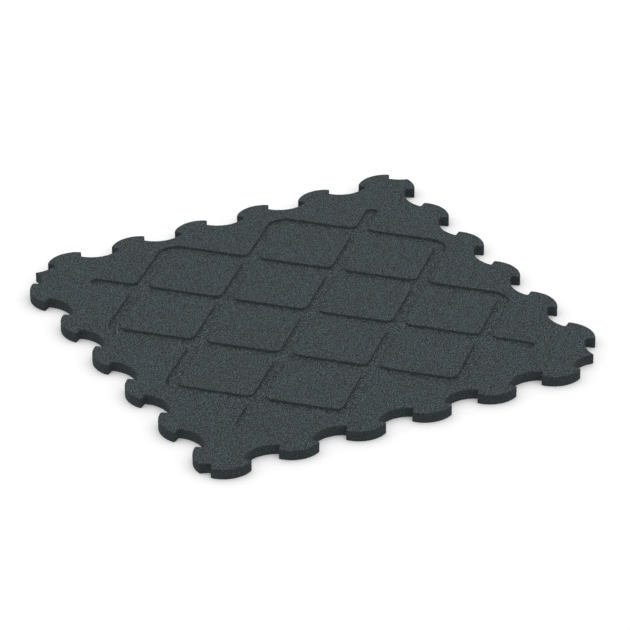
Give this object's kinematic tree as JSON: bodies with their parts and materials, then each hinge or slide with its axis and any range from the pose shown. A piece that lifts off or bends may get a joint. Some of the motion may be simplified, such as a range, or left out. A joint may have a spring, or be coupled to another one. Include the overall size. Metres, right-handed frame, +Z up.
{
  "type": "rubber gym floor tile",
  "caption": "Square interlocking floor tile of bonded rubber granulate, with scalloped locking tabs on all sides and a diagonal grid of channels in its face.",
  "frame": {"origin": "middle of the tile on its underside", "axes": "+Z up through the thickness, +X and +Y along the sides; lower side faces -Y, upper +Y, left -X, right +X"},
  "size_m": [1.054, 1.054, 0.025],
  "materials": {
    "rubber_granulate": "matt fine bonded granulate, charcoal grey with pale specks"
  },
  "bodies": {
    "root": {"floor_tile": "rubber_granulate"}
  },
  "joints": []
}
